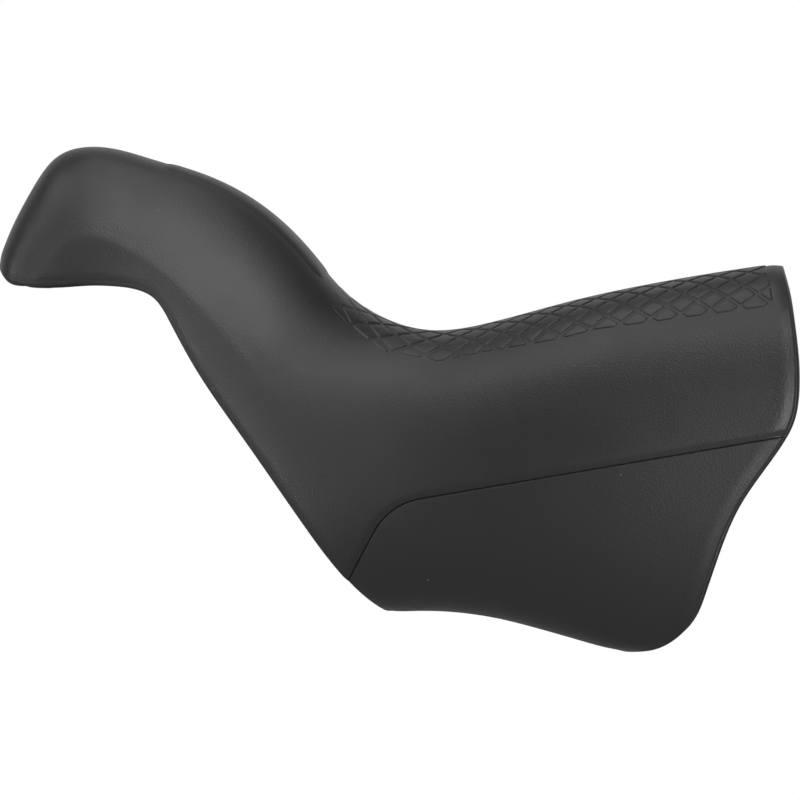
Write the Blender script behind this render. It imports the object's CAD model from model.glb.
import math

import bmesh
import bpy
import numpy as np
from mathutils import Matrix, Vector


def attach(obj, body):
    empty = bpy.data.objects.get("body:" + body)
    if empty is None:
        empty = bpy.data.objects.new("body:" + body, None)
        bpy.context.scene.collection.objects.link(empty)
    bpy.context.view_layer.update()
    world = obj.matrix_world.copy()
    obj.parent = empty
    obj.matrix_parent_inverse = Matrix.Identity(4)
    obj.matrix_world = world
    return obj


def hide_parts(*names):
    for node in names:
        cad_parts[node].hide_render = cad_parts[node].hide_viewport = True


# The rubber hood of a road brake and shift lever.  Its skins are worked out here on the same sections as
# the CAD, as fine structured grids with rolled rims, and replace the CAD's plain ones.
# Lengths are in millimetres until a mesh is made; Blender objects are in metres.

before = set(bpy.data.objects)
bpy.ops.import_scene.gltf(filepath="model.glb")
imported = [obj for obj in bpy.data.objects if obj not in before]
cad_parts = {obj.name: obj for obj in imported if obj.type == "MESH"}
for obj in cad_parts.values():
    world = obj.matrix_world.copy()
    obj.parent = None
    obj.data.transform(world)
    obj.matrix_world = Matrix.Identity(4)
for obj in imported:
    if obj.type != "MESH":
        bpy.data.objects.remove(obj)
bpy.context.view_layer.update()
MM = 0.001

# ---------------------------------------------------------------- driving dimensions, as in the CAD
WALL = 2.2
SKIRT_STEP = 0.4
PAD_RISE = 0.25
BEAD = 1.3
BEAD_BAND = 4.0
SCALE_PITCH = 5.45
SCALE_ROW = 2.4
SCALE_GAP = 0.45  # the CAD's scales are 0.7 apart
SCALE_RISE = 0.18  # and 0.3 high

# (crest x, crest z, keel x, keel z, half width, widest level, crest squareness, lean of the sides)
SECTIONS = [
    (20.0, 35.0, 0.0, -39.9, 18.0, 0.62, 2.5, 0.0),
    (4.0, 32.9, -12.0, -36.6, 18.7, 0.61, 2.5, 0.0),
    (-12.0, 30.3, -23.0, -33.5, 19.4, 0.60, 2.5, 0.0),
    (-28.0, 26.9, -35.0, -30.1, 19.7, 0.58, 2.5, 0.0),
    (-42.0, 23.2, -46.5, -27.8, 19.5, 0.56, 2.5, 0.0),
    (-52.0, 21.8, -59.0, -27.6, 18.8, 0.54, 2.5, 0.0),
    (-60.0, 23.6, -73.0, -27.0, 17.9, 0.52, 2.6, 0.03),
    (-67.5, 28.4, -84.0, -16.0, 17.3, 0.50, 2.7, 0.08),
    (-74.5, 36.4, -93.5, -2.0, 16.9, 0.49, 2.9, 0.13),
    (-82.5, 43.8, -100.5, 8.0, 16.6, 0.49, 3.1, 0.18),
    (-92.0, 49.0, -104.5, 14.0, 16.3, 0.50, 3.3, 0.21),
    (-102.0, 52.2, -107.0, 17.0, 16.1, 0.53, 3.4, 0.22),
    (-111.0, 54.3, -109.0, 18.5, 15.9, 0.55, 3.4, 0.22),
    (-118.0, 52.8, -111.0, 19.2, 15.7, 0.56, 3.4, 0.21),
    (-122.6, 47.0, -112.5, 19.4, 15.5, 0.56, 3.5, 0.19),
    (-125.8, 41.0, -114.0, 19.2, 15.3, 0.55, 3.6, 0.16),
    (-128.2, 35.2, -115.2, 18.4, 15.1, 0.53, 3.7, 0.12),
    (-130.4, 28.0, -116.0, 16.8, 14.9, 0.50, 3.8, 0.08),
]
KEEL_SQUARENESS = 3.4
KEEL_TAPER = 0.16

# side-view outlines (x, z); those of the openings lie up to about 1 mm from the CAD's
REAR_MOUTH = [
    (-24.0, -35.7), (-18.5, -35.2), (-13.2, -34.8), (-9.5, -32.9), (-6.8, -30.1), (-4.9, -25.7),
    (-3.0, -20.0), (1.2, -9.7), (8.3, 0.9), (11.2, 6.5), (12.0, 11.4), (12.0, 17.2), (11.2, 25.0),
    (10.4, 30.0), (9.4, 34.0), (8.8, 38.0),
]
FRONT_OPENING = [
    (-131.5, 36.2), (-128.7, 33.0), (-126.6, 30.7), (-123.0, 29.7), (-115.0, 29.5), (-106.0, 29.2),
    (-101.1, 27.8), (-97.8, 23.2), (-92.9, 14.3), (-85.5, 3.6), (-74.6, -12.1), (-66.6, -22.7),
    (-61.5, -27.4), (-55.8, -30.5),
]
SEAM_REAR = (30.0, 6.8)
SEAM_CORNER = (-59.06, -8.5)
SEAM_FRONT = (-74.0, -36.0)
SEAM_RADIUS = 11.5

# ---------------------------------------------------------------- numeric helpers


def cubic(knots, values, at):
    """A natural cubic spline through values at knots; values may have any shape after the first axis."""
    knots = np.asarray(knots, float)
    values = np.asarray(values, float)
    flat = values.reshape(len(knots), -1)
    gaps = np.diff(knots)
    system = np.eye(len(knots))
    right = np.zeros_like(flat)
    for i in range(1, len(knots) - 1):
        system[i, i - 1 : i + 2] = gaps[i - 1], 2 * (gaps[i - 1] + gaps[i]), gaps[i]
        right[i] = 6 * ((flat[i + 1] - flat[i]) / gaps[i] - (flat[i] - flat[i - 1]) / gaps[i - 1])
    bend = np.linalg.solve(system, right)
    at = np.asarray(at, float)
    left = np.clip(np.searchsorted(knots, at) - 1, 0, len(gaps) - 1)
    gap = gaps[left][:, None]
    low = ((knots[left + 1] - at)[:, None]) / gap
    high = 1 - low
    curve = low * flat[left] + high * flat[left + 1]
    curve += ((low**3 - low) * bend[left] + (high**3 - high) * bend[left + 1]) * gap**2 / 6
    return curve.reshape((len(at),) + values.shape[1:])


def travelled(points):
    """The distance along a line of points, from 0."""
    return np.concatenate([[0.0], np.cumsum(np.linalg.norm(np.diff(points, axis=0), axis=1))])


def smooth_step(value):
    value = np.clip(value, 0.0, 1.0)
    return value * value * (3 - 2 * value)


class Outline:
    """A side-view line, with a signed distance that is positive on the chosen side of it."""

    def __init__(self, points, side, curved=True, samples=900):
        points = np.array(points, float)
        run = travelled(points)
        if curved:
            points = cubic(run, points, np.linspace(0, run[-1], samples))
        self.start = points[:-1]
        self.along = np.diff(points, axis=0)
        self.side = side

    def distance(self, x, z):
        """Signed distances of the points (x, z), taken in slices to save memory."""
        result = np.empty(len(x))
        for low in range(0, len(x), 400):
            part = slice(low, low + 400)
            offset_x = x[part, None] - self.start[None, :, 0]
            offset_z = z[part, None] - self.start[None, :, 1]
            run_x, run_z = self.along[None, :, 0], self.along[None, :, 1]
            share = np.clip((offset_x * run_x + offset_z * run_z) / (run_x**2 + run_z**2), 0, 1)
            gap_x = offset_x - share * run_x
            gap_z = offset_z - share * run_z
            gaps = np.hypot(gap_x, gap_z)
            nearest = np.argmin(gaps, axis=1)
            rows = np.arange(len(nearest))
            cross = run_x[0, nearest] * gap_z[rows, nearest] - run_z[0, nearest] * gap_x[rows, nearest]
            result[part] = np.sign(cross) * gaps[rows, nearest] * self.side
        return result


def seam_points():
    """The seam as two straight runs joined by an arc."""
    rear, corner, front = (np.array(p) for p in (SEAM_REAR, SEAM_CORNER, SEAM_FRONT))
    back = (rear - corner) / np.linalg.norm(rear - corner)
    down = (front - corner) / np.linalg.norm(front - corner)
    half = math.acos(back @ down) / 2
    reach = SEAM_RADIUS / math.tan(half)
    middle = corner + (back + down) / np.linalg.norm(back + down) * SEAM_RADIUS / math.sin(half)
    first, last = corner + back * reach - middle, corner + down * reach - middle
    low = math.atan2(first[1], first[0])
    turn = (math.atan2(last[1], last[0]) - low + math.pi) % math.tau - math.pi
    angles = np.linspace(low, low + turn, 41)
    arc = middle + SEAM_RADIUS * np.stack([np.cos(angles), np.sin(angles)], axis=1)
    return np.vstack([rear, arc, front])


rear_mouth = Outline(REAR_MOUTH, side=1)  # positive ahead of the mouth
front_opening = Outline(FRONT_OPENING, side=1)  # positive behind the opening
seam = Outline(seam_points(), side=-1, curved=False)  # positive above the seam


# ---------------------------------------------------------------- the form
STATIONS = 1100
AROUND = 500


class Form:
    """The closed form of the hood drawn in by inset: v runs from the rear to the nose, and u from the
    crest (0) to the keel (1), negative on the -Y side."""

    def __init__(self, inset):
        rings = np.array([self.ring(section, inset) for section in SECTIONS])
        middle = rings[:, AROUND // 3]
        crest = rings[:, 0]
        self.knots = (travelled(middle) + travelled(crest)) / 2
        self.knots /= self.knots[-1]
        self.table = cubic(self.knots, rings, np.linspace(0, 1, STATIONS))

    @staticmethod
    def ring(section, inset):
        crest_x, crest_z, keel_x, keel_z, half_width, widest, squareness, lean = section
        rise = np.array([crest_x - keel_x, crest_z - keel_z])
        height = np.hypot(*rise)
        level = widest * height
        angle = np.linspace(math.pi / 2, -math.pi / 2, 4001)
        above = angle > 0
        power = 2 / np.where(above, squareness, KEEL_SQUARENESS)
        along = np.abs(np.sin(angle)) ** power
        across = np.clip(np.cos(angle), 0, None) ** power
        reach = np.where(above, height - level - inset, inset - level)
        narrowing = np.where(above, lean * along, KEEL_TAPER * along**2)
        wide = (half_width * (1 - narrowing) - inset) * across
        up = (level + reach * along) / height
        points = np.stack([keel_x + rise[0] * up, wide, keel_z + rise[1] * up], axis=1)
        run = travelled(points)
        even = np.linspace(0, run[-1], AROUND + 1)
        return np.stack([np.interp(even, run, points[:, axis]) for axis in range(3)], axis=1)

    def at(self, v, u):
        """Points on the form, by bilinear interpolation in its fine table."""
        reach = np.abs(u)
        past_keel = reach > 1
        reach = np.where(past_keel, 2 - reach, reach)
        row = np.clip(v, 0, 1) * (STATIONS - 1)
        column = reach * AROUND
        i = np.minimum(row.astype(int), STATIONS - 2)
        j = np.minimum(column.astype(int), AROUND - 1)
        a, b = (row - i)[..., None], (column - j)[..., None]
        table = self.table
        points = (1 - a) * ((1 - b) * table[i, j] + b * table[i, j + 1])
        points += a * ((1 - b) * table[i + 1, j] + b * table[i + 1, j + 1])
        points[..., 1] *= np.where((u < 0) != past_keel, -1.0, 1.0)
        return points

    def normal(self, v, u):
        """Outward unit normals, from differences two table cells wide."""
        dv, du = 2.0 / STATIONS, 2.0 / AROUND
        along = self.at(np.minimum(v + dv, 1), u) - self.at(np.maximum(v - dv, 0), u)
        round_it = self.at(v, u + du) - self.at(v, u - du)
        normals = np.cross(round_it, along)
        return normals / np.linalg.norm(normals, axis=-1, keepdims=True)


outer_form = Form(0.0)
inner_form = Form(WALL)


# ---------------------------------------------------------------- edges of the skins, as (v, u) on the form
SEAM_ROLL = 0.27  # how round the edges along the seam are
RIM_ROLL = 0.9  # and the rims of the openings
GRID = 0.7  # usual spacing of the skins' vertices
NOSE_CORNER = 0.4  # the u where the rim under the horn turns across the nose
SEAM_LENGTH, FRONT_LENGTH = 78.0, 85.0  # rough lengths of the edges, which set how many vertices they get
GRIP_GIRTH, SKIRT_GIRTH = 34.0, 44.0  # and of the lines across the skins
EDGE_SAMPLES, CROSS_SAMPLES = 260, 160  # points worked out along and across before they are spaced
REAR_STATIONS, NOSE_STATIONS = (0.0, 0.3), (0.85, 1.0)  # where the openings' edges are looked for
END_SHARES = np.array([0.0, 0.1, 0.25, 0.45, 0.7, 1.0, 1.3, 1.7, 2.2, 3.0, 4.0])  # millimetres from an edge


def bisect(function, low, high, steps=22):
    """Where function crosses zero between low and high, for whole arrays at once."""
    low, high = np.array(low, float), np.array(high, float)
    negative = function(low) < 0
    for _ in range(steps):
        middle = (low + high) / 2
        same = (function(middle) < 0) == negative
        low, high = np.where(same, middle, low), np.where(same, high, middle)
    return (low + high) / 2


def beside(outline, v, u, gap):
    """How much further than gap the points at (v, u) are from a side-view line."""
    points = outer_form.at(v, u)
    return outline.distance(points[..., 0], points[..., 2]) - gap


def u_beside(outline, v, gap, low=0.12):
    return bisect(lambda u: beside(outline, v, u, gap), np.full_like(v, low), np.ones_like(v))


def v_beside(outline, u, gap, low, high):
    return bisect(lambda v: beside(outline, v, u, gap), np.full_like(u, low), np.full_like(u, high))


def spread(v, u, shares):
    """The points of a (v, u) line at the given shares of its length in space, as a two-column array."""
    run = travelled(outer_form.at(v, u))
    at = shares * run[-1]
    return np.stack([np.interp(at, run, v), np.interp(at, run, u)], axis=1)


def clustered(length, first, last):
    """Shares of a line of that length, closer together at the ends that are marked."""
    start = END_SHARES if first else np.array([0.0])
    end = END_SHARES if last else np.array([0.0])
    count = max(2, round((length - start[-1] - end[-1]) / GRID))
    middle = np.linspace(start[-1], length - end[-1], count + 1)[1:-1]
    return np.concatenate([start, middle, length - end[::-1]]) / length


ALONG_SEAM = clustered(SEAM_LENGTH, True, True)
ALONG_FRONT = clustered(FRONT_LENGTH, True, True)
ACROSS_GRIP = clustered(GRIP_GIRTH, False, True)
ACROSS_SKIRT = clustered(SKIRT_GIRTH, False, True)


def corners(seam_gap, rim_gap):
    """The stations v where the seam's line meets the mouth's and the front opening's."""

    def on_seam(outline):
        return lambda v: beside(outline, v, u_beside(seam, v, seam_gap), rim_gap)

    rear = bisect(on_seam(rear_mouth), [0.0], [0.3])[0]
    return rear, bisect(on_seam(front_opening), [0.3], [0.6])[0]


def grip_edges(seam_gap, rim_gap):
    """The grip skin's low edge from the rear to the nose, and its edges across the mouth and the nose."""
    rear, corner = corners(seam_gap, rim_gap)
    nose_corner = v_beside(front_opening, np.array([NOSE_CORNER]), rim_gap, *NOSE_STATIONS)[0]
    v = np.linspace(rear, corner, EDGE_SAMPLES)
    along_seam = spread(v, u_beside(seam, v, seam_gap), ALONG_SEAM)
    v = np.linspace(corner, nose_corner, EDGE_SAMPLES)
    along_front = spread(v, u_beside(front_opening, v, rim_gap), ALONG_FRONT)
    low = np.vstack([along_seam, along_front[1:]])
    u = np.linspace(0, low[0, 1], CROSS_SAMPLES)
    mouth = spread(v_beside(rear_mouth, u, rim_gap, *REAR_STATIONS), u, ACROSS_GRIP)
    u = np.linspace(0, low[-1, 1], CROSS_SAMPLES)
    nose = spread(v_beside(front_opening, u, rim_gap, *NOSE_STATIONS), u, ACROSS_GRIP)
    return low, mouth, nose


def skirt_edges(seam_gap, rim_gap):
    """The skirt's edge along the seam, and its edges across the mouth and the front opening."""
    rear, corner = corners(-seam_gap, rim_gap)
    v = np.linspace(rear, corner, EDGE_SAMPLES)
    low = spread(v, u_beside(seam, v, -seam_gap), ALONG_SEAM)
    u = np.linspace(1, low[0, 1], CROSS_SAMPLES)
    mouth = spread(v_beside(rear_mouth, u, rim_gap, 0.0, 0.32), u, ACROSS_SKIRT)
    u = np.linspace(1, low[-1, 1], CROSS_SAMPLES)
    front = spread(v_beside(front_opening, u, rim_gap, 0.3, 0.62), u, ACROSS_SKIRT)
    return low, mouth, front


def patch(edges, across):
    """A grid of (v, u) that blends its four edges; the fourth runs along the mirror plane."""
    low, mouth, nose = edges
    run = travelled(outer_form.at(low[:, 0], low[:, 1]))
    t = (run / run[-1])[:, None, None]
    w = across[None, :, None]
    v = np.linspace(mouth[0, 0], nose[0, 0], 400)
    pole = spread(v, np.full_like(v, mouth[0, 1]), t[:, 0, 0])
    grid = (1 - w) * pole[:, None] + w * low[:, None] + (1 - t) * mouth[None] + t * nose[None]
    grid -= (1 - w) * ((1 - t) * mouth[0] + t * nose[0]) + w * ((1 - t) * mouth[-1] + t * nose[-1])
    return grid


# ---------------------------------------------------------------- meshes
def both_sides(half):
    """A half grid of points, from the mirror plane outwards, as the whole grid."""
    mirrored = half[:, :0:-1] * np.array([1.0, -1.0, 1.0])
    whole = np.concatenate([mirrored, half], axis=1)
    whole[:, half.shape[1] - 1, 1] = 0.0
    return whole


def quads(index, closed=False):
    """The four corners of each cell of a grid of vertex numbers."""
    if closed:
        index = np.concatenate([index, index[:, :1]], axis=1)
    cells = np.stack([index[:-1, :-1], index[1:, :-1], index[1:, 1:], index[:-1, 1:]], axis=-1)
    return cells.reshape(-1, 4)


def make_mesh(name, points, faces):
    """A mesh object from points in millimetres, on the CAD's one body."""
    mesh = bpy.data.meshes.new(name)
    mesh.from_pydata((points * MM).tolist(), [], [list(face) for face in faces])
    shaped = bmesh.new()
    shaped.from_mesh(mesh)
    bmesh.ops.recalc_face_normals(shaped, faces=shaped.faces)
    shaped.to_mesh(mesh)
    shaped.free()
    mesh.polygons.foreach_set("use_smooth", [True] * len(mesh.polygons))
    piece = bpy.data.objects.new(name, mesh)
    bpy.context.scene.collection.objects.link(piece)
    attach(piece, "root")
    return piece


def superellipse(steps, squareness):
    """Cosines and sines of a half turn, squared up a little."""
    angle = np.linspace(0, math.pi, steps + 1)[1:-1]
    power = 2 / squareness
    return np.sign(np.cos(angle)) * np.abs(np.cos(angle)) ** power, np.sin(angle) ** power


RIM_STEPS = 12
RIM_SQUARENESS = 2.5


def closed_skin(name, outer, inner, push):
    """A solid between two half grids, whose rim bulges by push, given along (low edge, mouth, nose)."""
    outer, inner = both_sides(outer), both_sides(inner)
    rows, columns = outer.shape[:2]
    push_grid = np.zeros((rows, (columns + 1) // 2, 3))
    push_grid[0], push_grid[-1], push_grid[:, -1] = push[1], push[2], push[0]
    push_grid = both_sides(push_grid)
    number = np.arange(rows * columns).reshape(rows, columns)
    loop = [number[0, :-1], number[:-1, -1], number[-1, :0:-1], number[:0:-1, 0]]
    loop = np.concatenate(loop)
    outer, inner, push = (grid.reshape(-1, 3) for grid in (outer, inner, push_grid))
    middle, half = (outer[loop] + inner[loop]) / 2, (outer[loop] - inner[loop]) / 2
    cosines, sines = superellipse(RIM_STEPS, RIM_SQUARENESS)
    rim = middle + half * cosines[:, None, None] + push[loop] * sines[:, None, None]
    size, steps = len(outer), len(cosines)
    ring = np.arange(steps * len(loop)).reshape(steps, len(loop)) + 2 * size
    ring = np.vstack([loop, ring, loop + size])
    faces = np.vstack([quads(number), quads(number + size)[:, ::-1], quads(ring, closed=True)])
    return make_mesh(name, np.vstack([outer, inner, rim.reshape(-1, 3)]), faces)


def edge_push(edges_of):
    """How far the true edges lie beyond the rounded skin's, as vectors along the three edges."""
    true, drawn_in = edges_of(0.0, 0.0), edges_of(SEAM_ROLL, RIM_ROLL)
    return [outer_form.at(*a.T) - outer_form.at(*b.T) for a, b in zip(true, drawn_in)]


def drop(v, u, depth):
    """Points of the outer form moved inwards by depth."""
    return outer_form.at(v, u) - outer_form.normal(v, u) * depth[..., None]


# ---------------------------------------------------------------- grip skin
CHAMFER_DEPTH = 0.42
CHAMFER_WIDTH = 1.25
ROUND_DEPTH = 0.6  # how far the outer face falls away at the openings
ROUND_WIDTH = 2.6
TUCK_DEPTH = 1.2  # how far the horn's sides are drawn in towards the rim under it
TUCK_MIDDLE, TUCK_SIZE = -112.0, 11.0  # x of its middle and its reach either way
TUCK_TOP, TUCK_BOTTOM = 42.0, 30.0  # z


def rim_round(v, u):
    """How far the outer face is drawn in near the openings."""
    points = outer_form.at(v, u)
    x, z = points[..., 0].ravel(), points[..., 2].ravel()
    nearest = np.minimum(rear_mouth.distance(x, z), front_opening.distance(x, z)).reshape(v.shape)
    return ROUND_DEPTH * np.clip(1 - nearest / ROUND_WIDTH, 0, 1) ** 2


def grip_relief(v, u):
    """How far the grip skin's outer face is drawn in along the seam and rims, and under the horn."""
    points = outer_form.at(v, u)
    x, z = points[..., 0].ravel(), points[..., 2].ravel()
    seam_distance = seam.distance(x, z).reshape(v.shape)
    chamfer = np.clip(1 - seam_distance / CHAMFER_WIDTH, 0, 1)
    tuck = smooth_step((TUCK_TOP - points[..., 2]) / (TUCK_TOP - TUCK_BOTTOM))
    tuck *= np.exp(-(((points[..., 0] - TUCK_MIDDLE) / TUCK_SIZE) ** 2))
    return CHAMFER_DEPTH * chamfer + TUCK_DEPTH * tuck + rim_round(v, u)


grid = patch(grip_edges(SEAM_ROLL, RIM_ROLL), ACROSS_GRIP)
v, u = grid[..., 0], grid[..., 1]
outer_face = drop(v, u, grip_relief(v, u))
grip_skin = closed_skin("hood_grip_skin", outer_face, inner_form.at(v, u), edge_push(grip_edges))
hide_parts("grip_skin")

# ---------------------------------------------------------------- skirt
STEP_FADE = 0.75  # the u from which the step below the seam fades out towards the keel

grid = patch(skirt_edges(SEAM_ROLL, RIM_ROLL), ACROSS_SKIRT)
v, u = grid[..., 0], grid[..., 1]
step = SKIRT_STEP * (1 - smooth_step((u - STEP_FADE) / (1 - STEP_FADE)))
outer_face = drop(v, u, step + rim_round(v, u))
lower_skirt = closed_skin("hood_lower_skirt", outer_face, inner_form.at(v, u), edge_push(skirt_edges))
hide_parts("lower_skirt")

# ---------------------------------------------------------------- pad on the back of the horn
PAD_ENDS = (-70.5, -99.5)  # x of its ends on the crest
PAD_HALF_LENGTH, PAD_HALF_WIDTH = 14.0, 9.0
PAD_CORNER = 3.0
PAD_EDGE = 2.4  # width of its sloping edge
PAD_ROOT = 0.25  # how far its underside lies below the skin
PAD_SINK = 0.1  # and how far the foot of its edge does
CREST_MARGIN = 4  # how far ahead of the pad the crest is still followed

crest_v = np.linspace(0, 1, 2001)
crest_run = travelled(outer_form.at(crest_v, np.zeros_like(crest_v)))
crest_x = outer_form.at(crest_v, np.zeros_like(crest_v))[:, 0]
half_rounds = np.array([travelled(ring)[-1] for ring in outer_form.table])


def half_round_at(v):
    return np.interp(v, np.linspace(0, 1, STATIONS), half_rounds)


def run_at(x):
    """The distance along the crest of the point at x, ahead of the horn's top or behind it."""
    falling = slice(0, 1 + int(np.argmax(crest_x < PAD_ENDS[1] - CREST_MARGIN)))
    return np.interp(-x, -crest_x[falling], crest_run[falling])


def on_skin(along, across, height):
    """Points at distances along the crest and round from it, raised from the skin by height."""
    v = np.interp(along, crest_run, crest_v)
    u = across / half_round_at(v)
    return drop(v, u, -height)


def pad_points(share_along, share_across, height_of):
    """A grid over the pad's round-cornered outline, with a height for each distance from its edge."""
    start, end = run_at(PAD_ENDS[0]), run_at(PAD_ENDS[1])
    half_length = (end - start) / 2
    a = (share_along * half_length)[:, None]
    edge_a = half_length - np.abs(a)
    cut = np.clip(PAD_CORNER - edge_a, 0, PAD_CORNER)
    half_width = PAD_HALF_WIDTH - PAD_CORNER + np.sqrt(PAD_CORNER**2 - cut**2)
    b = share_across[None, :] * half_width
    edge = np.minimum(edge_a, half_width - np.abs(b))
    return on_skin(start + half_length + a + 0 * b, b, height_of(edge))


def pad_height(edge):
    return -PAD_SINK + (PAD_RISE + PAD_SINK) * np.sin(np.clip(edge / PAD_EDGE, 0, 1) * math.pi / 2)


half = 1 - clustered(PAD_HALF_LENGTH, True, False)[::-1]
along = np.concatenate([-half[:0:-1], half])
half = 1 - clustered(PAD_HALF_WIDTH, True, False)[::-1]
across = np.concatenate([-half[:0:-1], half])
top = pad_points(along, across, pad_height)
under = pad_points(along, across, lambda edge: np.full_like(edge, -PAD_ROOT))
number = np.arange(top.shape[0] * top.shape[1]).reshape(top.shape[:2])
loop = np.concatenate([number[0, :-1], number[:-1, -1], number[-1, :0:-1], number[:0:-1, 0]])
skirt_ring = np.vstack([loop, loop + number.size])
faces = np.vstack([quads(number), quads(number + number.size)[:, ::-1], quads(skirt_ring, closed=True)])
points = np.vstack([top.reshape(-1, 3), under.reshape(-1, 3)])
crest_pad = make_mesh("hood_crest_pad", points, faces)
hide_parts("horn_crest_pad")

# ---------------------------------------------------------------- bead inside the mouth, hook in the nose
PROFILE_STEPS = 16
BAND_START = 1.2  # how far inside the opening they start
BAND_SINK, BAND_ROOT = 0.2, 0.5  # how far their edges and their roots lie inside the wall
HOOK_SINK = 0.25  # how far the ends of the hook do


def in_wall(v, u, depth):
    """Points at a depth under the outer form, measured through the wall."""
    outer = outer_form.at(v, u)
    return outer + (inner_form.at(v, u) - outer) * (depth / WALL)[..., None]


def band_profile(start, end, rise):
    """Gaps from the opening and depths of points round a low bulge inside the wall."""
    angle = np.linspace(0, math.pi, PROFILE_STEPS)
    gap = (start + end) / 2 - (end - start) / 2 * np.cos(angle)
    depth = WALL - BAND_SINK + (rise + BAND_SINK) * np.sin(angle) ** 0.8
    return np.append(gap, (start + end) / 2), np.append(depth, WALL - BAND_ROOT)


def bars(half, closed):
    """Faces and points of a bar from the mirror plane outwards, with its mirror image joined to it."""
    mirrored = half[-1 - closed : 0 : -1] * np.array([1.0, -1.0, 1.0])
    path = np.concatenate([half, mirrored]) if closed else np.concatenate([mirrored, half])
    number = np.arange(path.shape[0] * path.shape[1]).reshape(path.shape[:2])
    if closed:
        return path.reshape(-1, 3), quads(np.vstack([number, number[:1]]), closed=True).tolist()
    ends = [number[0].tolist(), number[-1, ::-1].tolist()]
    return path.reshape(-1, 3), quads(number, closed=True).tolist() + ends


gaps, depths = band_profile(BAND_START, BEAD_BAND + 0.6, BEAD)
u = np.linspace(0, 1, 181)
v = np.stack([v_beside(rear_mouth, u, gap, 0.0, 0.34) for gap in gaps], axis=1)
u = np.repeat(u[:, None], len(gaps), axis=1)
points, faces = bars(in_wall(v, u, depths + 0 * u), closed=True)
rear_bead = make_mesh("hood_rear_bead", points, faces)
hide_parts("rear_cuff_bead")

HOOK_REAR = 0.795  # station where the hook starts under the horn
HOOK_FADE = 0.05  # share of its length over which it comes up from the wall


def hook_line(gap):
    """The line beside the front opening from the mirror plane, round the nose and back under the horn."""
    u_nose = np.linspace(0, NOSE_CORNER, 60)
    v_nose = v_beside(front_opening, u_nose, gap, *NOSE_STATIONS)
    v_side = np.linspace(v_nose[-1], HOOK_REAR, 70)[1:]
    line = np.stack([np.append(v_nose, v_side), np.append(u_nose, u_beside(front_opening, v_side, gap))])
    run = travelled(outer_form.at(*line))
    even = np.linspace(0, run[-1], 100)
    return np.stack([np.interp(even, run, values) for values in line])


gaps, depths = band_profile(BAND_START, BEAD_BAND + 0.3, BEAD)
lines = np.stack([hook_line(gap) for gap in gaps], axis=-1)
share = np.linspace(1, 0, 100)[:, None]
depths = WALL - HOOK_SINK + (depths - WALL + HOOK_SINK) * smooth_step(share / HOOK_FADE)
points, faces = bars(in_wall(lines[0], lines[1], depths), closed=False)
nose_hook = make_mesh("hood_nose_hook", points, faces)
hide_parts("nose_hook")

# ---------------------------------------------------------------- raised scales on the palm
SCALE_REAR = 3.6
SCALE_ROWS = 8
SCALE_COLUMNS = 15
SCALE_REAR_MARGIN = 3.2  # smooth band left along the rear mouth
SCALE_ROOT = 0.15
SCALE_BLANK = 9.0  # half the square that a scale is cut from
SCALE_TOP_SHARES = (0.6, 0.25)  # sizes of the rings over a scale's top, as shares of its outline
LEAST_AREA, LEAST_RISE = 0.05, 0.02  # scales smaller or lower than this are left out
# the scales' lower border in side view, from the horn's foot to the rear
SCALE_BORDER = [
    (-74.5, 33.0), (-67.8, 24.1), (-60.7, 18.5), (-51.0, 16.4), (-42.2, 18.1), (-29.9, 20.2),
    (-22.9, 22.0), (6.2, 25.9), (14.0, 27.0),
]
SCALE_FADE = (-71.0, -61.0)  # x over which they rise from the horn's foot
# (how far the outline is rounded out from the scale's core, height as a share) up the wall of a scale
SCALE_WALL = [(0.38, -0.5), (0.30, 0.0), (0.25, 0.35), (0.17, 0.8), (0.06, 1.0)]

border = Outline(SCALE_BORDER, side=1, curved=False)  # positive above the border

border_v = np.linspace(0.0, 0.52, 300)
border_u = bisect(lambda u: beside(border, border_v, u, 0.0), 0 * border_v, 0 * border_v + 0.6)
border_along = np.interp(border_v, crest_v, crest_run)
border_across = border_u * half_round_at(border_v)
rear_u = np.linspace(0, 0.45, 100)
rear_v = v_beside(rear_mouth, rear_u, SCALE_REAR_MARGIN, *REAR_STATIONS)
rear_along = np.interp(rear_v, crest_v, crest_run)
rear_across = rear_u * half_round_at(rear_v)


def clip(polygon, normal, offset):
    """The part of a convex polygon on the inner side of a line."""
    kept = []
    for start, end in zip(polygon, np.roll(polygon, -1, axis=0)):
        before, after = start @ normal - offset, end @ normal - offset
        if before <= 0:
            kept.append(start)
        if (before < 0) != (after < 0):
            kept.append(start + (end - start) * before / (before - after))
    return np.array(kept)


def slope_and_value(at, xs, ys):
    low, high = np.interp([at - 1, at + 1], xs, ys)
    return (high - low) / 2, np.interp(at, xs, ys)


def scale_core(along, across):
    """A scale's rhombus less its gap, cut by the border and the rear margin and drawn in for rounding."""
    rounding = SCALE_WALL[1][0]
    half_pitch = SCALE_PITCH / 2
    polygon = np.array([[-1, -1], [1, -1], [1, 1], [-1, 1]]) * SCALE_BLANK
    size = math.hypot(half_pitch, SCALE_ROW)
    offset = half_pitch * SCALE_ROW / size - SCALE_GAP / 2 - rounding
    for side in (-1, 1):
        for end in (-1, 1):
            polygon = clip(polygon, np.array([side * SCALE_ROW, end * half_pitch]) / size, offset)
    slope, value = slope_and_value(along, border_along, border_across)
    stretch = math.hypot(1, slope)
    polygon = clip(polygon, np.array([-slope, 1]) / stretch, (value - across) / stretch - rounding)
    if len(polygon) > 2:
        slope, value = slope_and_value(across, rear_across, rear_along)
        stretch = math.hypot(1, slope)
        polygon = clip(polygon, np.array([-1, slope]) / stretch, (along - value) / stretch - rounding)
    return polygon + np.array([along, across]) if len(polygon) > 2 else None


def area(polygon):
    x, y = polygon.T
    return abs(x @ np.roll(y, -1) - y @ np.roll(x, -1)) / 2


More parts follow.
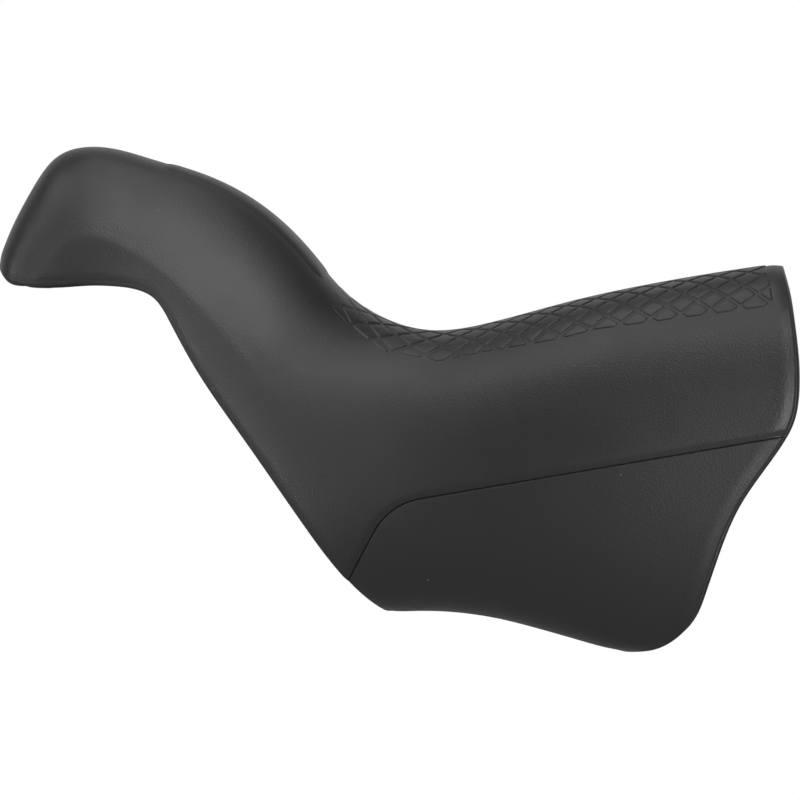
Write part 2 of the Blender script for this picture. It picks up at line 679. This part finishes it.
def rounded(core, radius):
    """The core's outline pushed out by radius, with arcs at its corners and points along its sides."""
    sides = np.roll(core, -1, axis=0) - core
    headings = np.arctan2(sides[:, 1], sides[:, 0]) - math.pi / 2
    outline = []
    for i, corner in enumerate(core):
        turn = (headings[i] - headings[i - 1]) % math.tau
        angles = headings[i - 1] + turn * np.linspace(0, 1, 5)
        outline.extend(corner + radius * np.stack([np.cos(angles), np.sin(angles)], axis=1))
        out = radius * np.array([math.cos(headings[i]), math.sin(headings[i])])
        outline.extend(corner + sides[i] * share + out for share in (0.25, 0.5, 0.75))
    return np.array(outline)


def scale_mesh(core, rise):
    """Rings up the wall and over the top of one scale, and the faces between them."""
    rings = [rounded(core, radius) for radius, _ in SCALE_WALL]
    heights = [share * rise if share > 0 else share * 2 * SCALE_ROOT for _, share in SCALE_WALL]
    middle, top_ring = core.mean(axis=0), rings[-1]
    for share in SCALE_TOP_SHARES:
        rings.append(middle + (top_ring - middle) * share)
        heights.append(rise)
    flat = np.vstack([*rings, middle[None]])
    height = np.append(np.repeat(heights, len(rings[0])), rise)
    count = len(rings[0])
    number = np.arange(len(rings) * count).reshape(len(rings), count)
    last = number[-1]
    top = [[int(last[i]), int(last[(i + 1) % count]), len(flat) - 1] for i in range(count)]
    return on_skin(flat[:, 0], flat[:, 1], height), quads(number, closed=True).tolist() + top


all_points, all_faces = [], []
total = 0
rear_run = run_at(SCALE_REAR)
for row in range(SCALE_ROWS):
    for column in range(-1, SCALE_COLUMNS):
        along = rear_run + (column + 0.5 * (row % 2)) * SCALE_PITCH
        core = scale_core(along, row * SCALE_ROW)
        if core is None or area(core) < LEAST_AREA:
            continue
        x = np.interp(along, crest_run, crest_x)
        low, high = SCALE_FADE
        rise = SCALE_RISE * float(smooth_step((x - low) / (high - low)))
        if rise < LEAST_RISE:
            continue
        points, faces = scale_mesh(core, rise)
        for side in (1, -1) if row else (1,):
            all_points.append(points * np.array([1, side, 1]))
            all_faces.extend([[index + total for index in face] for face in faces])
            total += len(points)
palm_scales = make_mesh("hood_palm_scales", np.vstack(all_points), all_faces)
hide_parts("palm_scales")


# ---------------------------------------------------------------- materials
CLOUD_SCALE, CLOUD_RANGE = 160.0, 0.05  # how finely the roughness varies, and how far either way
GRAIN_SCALE, GRAIN_HEIGHT = 3000.0, 0.0001
SPECK_SCALE, SPECK_GREY = 130.0, (0.3, 0.3, 0.3, 1)
SPECK_EDGE = (0.012, 0.03)  # distances from a speck's middle over which it fades out

def rubber(name, base, roughness, grain, speck=0.0):
    """A matte moulded rubber: fine grain, faint cloudiness in its gloss and a few pale specks of dust."""
    made = bpy.data.materials.new(name)
    made.use_nodes = True
    nodes, links = made.node_tree.nodes, made.node_tree.links
    shader = nodes["Principled BSDF"]
    shader.inputs["Specular IOR Level"].default_value = 0.5
    shader.inputs["Sheen Weight"].default_value = 0.04
    shader.inputs["Sheen Roughness"].default_value = 0.5

    place = nodes.new("ShaderNodeTexCoord")

    def noise(scale, detail):
        node = nodes.new("ShaderNodeTexNoise")
        node.inputs["Scale"].default_value = scale
        node.inputs["Detail"].default_value = detail
        links.new(place.outputs["Object"], node.inputs["Vector"])
        return node.outputs["Fac"]

    def remap(value, start, end, low, high):
        node = nodes.new("ShaderNodeMapRange")
        node.inputs["From Min"].default_value = start
        node.inputs["From Max"].default_value = end
        node.inputs["To Min"].default_value = low
        node.inputs["To Max"].default_value = high
        links.new(value, node.inputs["Value"])
        return node.outputs["Result"]

    clouds = noise(CLOUD_SCALE, 6.0)
    varied = remap(clouds, 0.3, 0.7, roughness - CLOUD_RANGE, roughness + CLOUD_RANGE)
    links.new(varied, shader.inputs["Roughness"])

    black = (base, base, base * 1.02, 1)
    shader.inputs["Base Color"].default_value = black
    if speck:
        dust = nodes.new("ShaderNodeTexVoronoi")
        dust.inputs["Scale"].default_value = SPECK_SCALE
        links.new(place.outputs["Object"], dust.inputs["Vector"])
        tint = nodes.new("ShaderNodeMix")
        tint.data_type = "RGBA"
        tint.inputs["A"].default_value = black
        tint.inputs["B"].default_value = SPECK_GREY
        links.new(remap(dust.outputs["Distance"], *SPECK_EDGE, speck, 0.0), tint.inputs["Factor"])
        links.new(tint.outputs["Result"], shader.inputs["Base Color"])

    bump = nodes.new("ShaderNodeBump")
    bump.inputs["Strength"].default_value = grain
    bump.inputs["Distance"].default_value = GRAIN_HEIGHT
    links.new(noise(GRAIN_SCALE, 3.0), bump.inputs["Height"])
    links.new(bump.outputs["Normal"], shader.inputs["Normal"])
    return made


skin_rubber = rubber("skin rubber", 0.03, 0.42, 0.7, speck=0.5)
skirt_rubber = rubber("skirt rubber", 0.03, 0.45, 0.6, speck=0.5)
scale_rubber = rubber("scale rubber", 0.03, 0.40, 0.4)
inner_rubber = rubber("inner rubber", 0.02, 0.55, 0.3)
for piece, finish in (
    (grip_skin, skin_rubber),
    (lower_skirt, skirt_rubber),
    (crest_pad, skin_rubber),
    (palm_scales, scale_rubber),
    (rear_bead, inner_rubber),
    (nose_hook, inner_rubber),
    (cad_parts["inner_ribs"], inner_rubber),
    (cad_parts["locating_tabs"], inner_rubber),
):
    piece.data.materials.clear()
    piece.data.materials.append(finish)

# ---------------------------------------------------------------- floor, world, lights, camera
FLOOR_Z = -0.092
FLOOR_LEFT, FLOOR_RIGHT = -1.2, 1.1
FLOOR_FRONT, FLOOR_BACK = -1.0, 0.42
floor_mesh = bpy.data.meshes.new("floor")
floor_corners = [
    (FLOOR_LEFT, FLOOR_FRONT, FLOOR_Z),
    (FLOOR_RIGHT, FLOOR_FRONT, FLOOR_Z),
    (FLOOR_RIGHT, FLOOR_BACK, FLOOR_Z),
    (FLOOR_LEFT, FLOOR_BACK, FLOOR_Z),
]
floor_mesh.from_pydata(floor_corners, [], [(0, 1, 2, 3)])
floor = bpy.data.objects.new("floor", floor_mesh)
bpy.context.scene.collection.objects.link(floor)
pale = bpy.data.materials.new("pale floor")
pale.use_nodes = True
nodes, links = pale.node_tree.nodes, pale.node_tree.links
shader = nodes["Principled BSDF"]
shader.inputs["Base Color"].default_value = (0.9, 0.9, 0.9, 1)
shader.inputs["Roughness"].default_value = 0.8
# The lights on black rubber are dim, so the floor is lifted to a pale grey where the camera sees it.
shader.inputs["Emission Color"].default_value = (0.5, 0.5, 0.5, 1)
seen = nodes.new("ShaderNodeLightPath")
links.new(seen.outputs["Is Camera Ray"], shader.inputs["Emission Strength"])
# It is clear from below, so that the hood can be seen from there too.
one_sided = nodes.new("ShaderNodeMixShader")
links.new(nodes.new("ShaderNodeNewGeometry").outputs["Backfacing"], one_sided.inputs["Fac"])
links.new(shader.outputs["BSDF"], one_sided.inputs[1])
links.new(nodes.new("ShaderNodeBsdfTransparent").outputs["BSDF"], one_sided.inputs[2])
links.new(one_sided.outputs["Shader"], nodes["Material Output"].inputs["Surface"])
floor_mesh.materials.append(pale)

# A white sweep behind the object and a dim studio in front of it; the camera sees the sweep everywhere.
world = bpy.data.worlds.new("studio")
world.use_nodes = True
nodes, links = world.node_tree.nodes, world.node_tree.links
background = nodes["Background"]
background.inputs["Color"].default_value = (1, 1, 1, 1)
direction = nodes.new("ShaderNodeTexCoord")
split = nodes.new("ShaderNodeSeparateXYZ")
links.new(direction.outputs["Generated"], split.inputs["Vector"])
sweep = nodes.new("ShaderNodeMapRange")
sweep.interpolation_type = "SMOOTHSTEP"
for socket, value in (("From Min", 0.3), ("From Max", 0.8), ("To Min", 0.0), ("To Max", 0.6)):
    sweep.inputs[socket].default_value = value
links.new(split.outputs["Y"], sweep.inputs["Value"])
rays = nodes.new("ShaderNodeLightPath")
seen = nodes.new("ShaderNodeMix")
links.new(rays.outputs["Is Camera Ray"], seen.inputs["Factor"])
links.new(sweep.outputs["Result"], seen.inputs["A"])
seen.inputs["B"].default_value = 1.0
links.new(seen.outputs["Result"], background.inputs["Strength"])
bpy.context.scene.world = world
bpy.context.scene.view_settings.view_transform = "Standard"

CENTRE = Vector((-58.1, 0, 9.7)) * MM
SOFTBOX_SIZE, SOFTBOX_DISTANCE, SOFTBOX_SPREAD = 0.16, 0.35, 180.0
POOL_SIZE, POOL_DISTANCE, POOL_SPREAD = 0.06, 0.25, 30.0


def area_light(name, aim, azimuth, elevation, power, size, distance, spread):
    """A square light aimed at a point; azimuth 0 is in front of the hood, positive to its rear end."""
    data = bpy.data.lights.new(name, "AREA")
    data.shape = "RECTANGLE"
    data.size = data.size_y = size
    data.spread = math.radians(spread)
    data.energy = power
    turn, rise = math.radians(azimuth), math.radians(elevation)
    away = Vector((math.sin(turn) * math.cos(rise), -math.cos(turn) * math.cos(rise), math.sin(rise)))
    light = bpy.data.objects.new(name, data)
    light.location = aim + away * distance
    light.rotation_euler = (-away).to_track_quat("-Z", "Y").to_euler()
    light.visible_camera = False
    bpy.context.scene.collection.objects.link(light)


def softbox(name, *direction_and_power):
    """A soft light on the whole hood."""
    area_light(name, CENTRE, *direction_and_power, SOFTBOX_SIZE, SOFTBOX_DISTANCE, SOFTBOX_SPREAD)


def pool(name, x, z, *direction_and_power):
    """A weak light with a narrow spread that brightens one part of the hood, at x and z in millimetres."""
    aim = Vector((x, 0, z)) * MM
    area_light(name, aim, *direction_and_power, POOL_SIZE, POOL_DISTANCE, POOL_SPREAD)


# Three softboxes light the whole hood, and seven pools brighten parts of it.  Their first directions and
# powers came from a least-squares fit to the photograph's brightness, and were then changed by hand.
softbox("top front", 0, 53, 0.19)
softbox("overhead", 0, 84, 0.18)
softbox("left upper", -58, 42, 0.2)
pool("nose", -127, 36, -60, 5, 0.004)
pool("horn", -112, 42, 18, 12, 0.0085)
pool("neck", -92, 26, 3, 15, 0.001)
pool("low neck", -80, -8, -34, 0, 0.0062)
pool("valley", -70, 22, 0, 40, 0.002)
pool("rear", 0, -4, 30, -5, 0.009)
pool("rear upper", -8, 14, 25, 35, 0.005)

IMAGE_WIDTH = 140.8
LENS = 400.0
YAW = 3.4
SENSOR_WIDTH = 36
camera_data = bpy.data.cameras.new("camera")
camera_data.lens = LENS
camera_data.sensor_width = SENSOR_WIDTH
camera_data.clip_end = 20
camera = bpy.data.objects.new("camera", camera_data)
bpy.context.scene.collection.objects.link(camera)
turn = math.radians(YAW)
distance = IMAGE_WIDTH * MM * LENS / SENSOR_WIDTH
camera.location = CENTRE + distance * Vector((math.sin(turn), -math.cos(turn), 0))
camera.rotation_euler = (math.pi / 2, 0, turn)
bpy.context.scene.camera = camera
